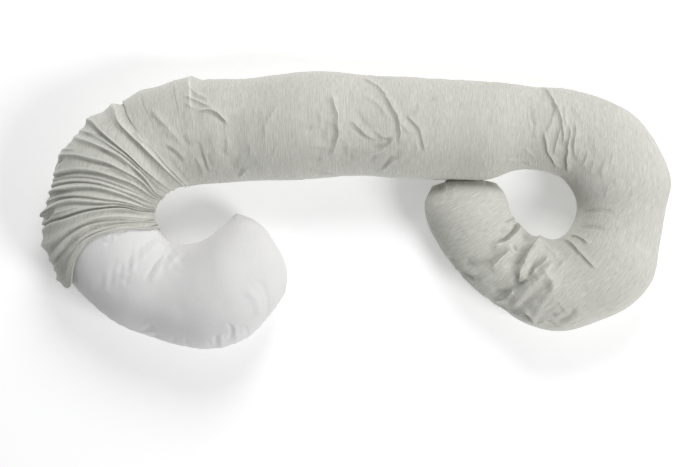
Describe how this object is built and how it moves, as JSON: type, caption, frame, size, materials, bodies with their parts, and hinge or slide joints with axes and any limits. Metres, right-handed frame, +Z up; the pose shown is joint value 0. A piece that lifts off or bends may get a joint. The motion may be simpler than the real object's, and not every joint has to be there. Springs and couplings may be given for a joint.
{
  "type": "body pillow",
  "caption": "Long filled body pillow, curled in at both ends, in a crinkled gauze cover that is drawn back off one end.",
  "frame": {"origin": "on the surface that the pillow lies on, under the middle of its outline", "axes": "+X along the straight middle towards the end that is wholly covered, +Y from the curled ends towards the straight middle, +Z up off the surface"},
  "size_m": [1.5438, 0.6779, 0.1913],
  "materials": {
    "gauze_cover": "matte crinkled cotton gauze",
    "white_cotton": "smooth matte cotton"
  },
  "bodies": {
    "root": {"pillow": "white_cotton", "cover": "gauze_cover"}
  },
  "joints": []
}
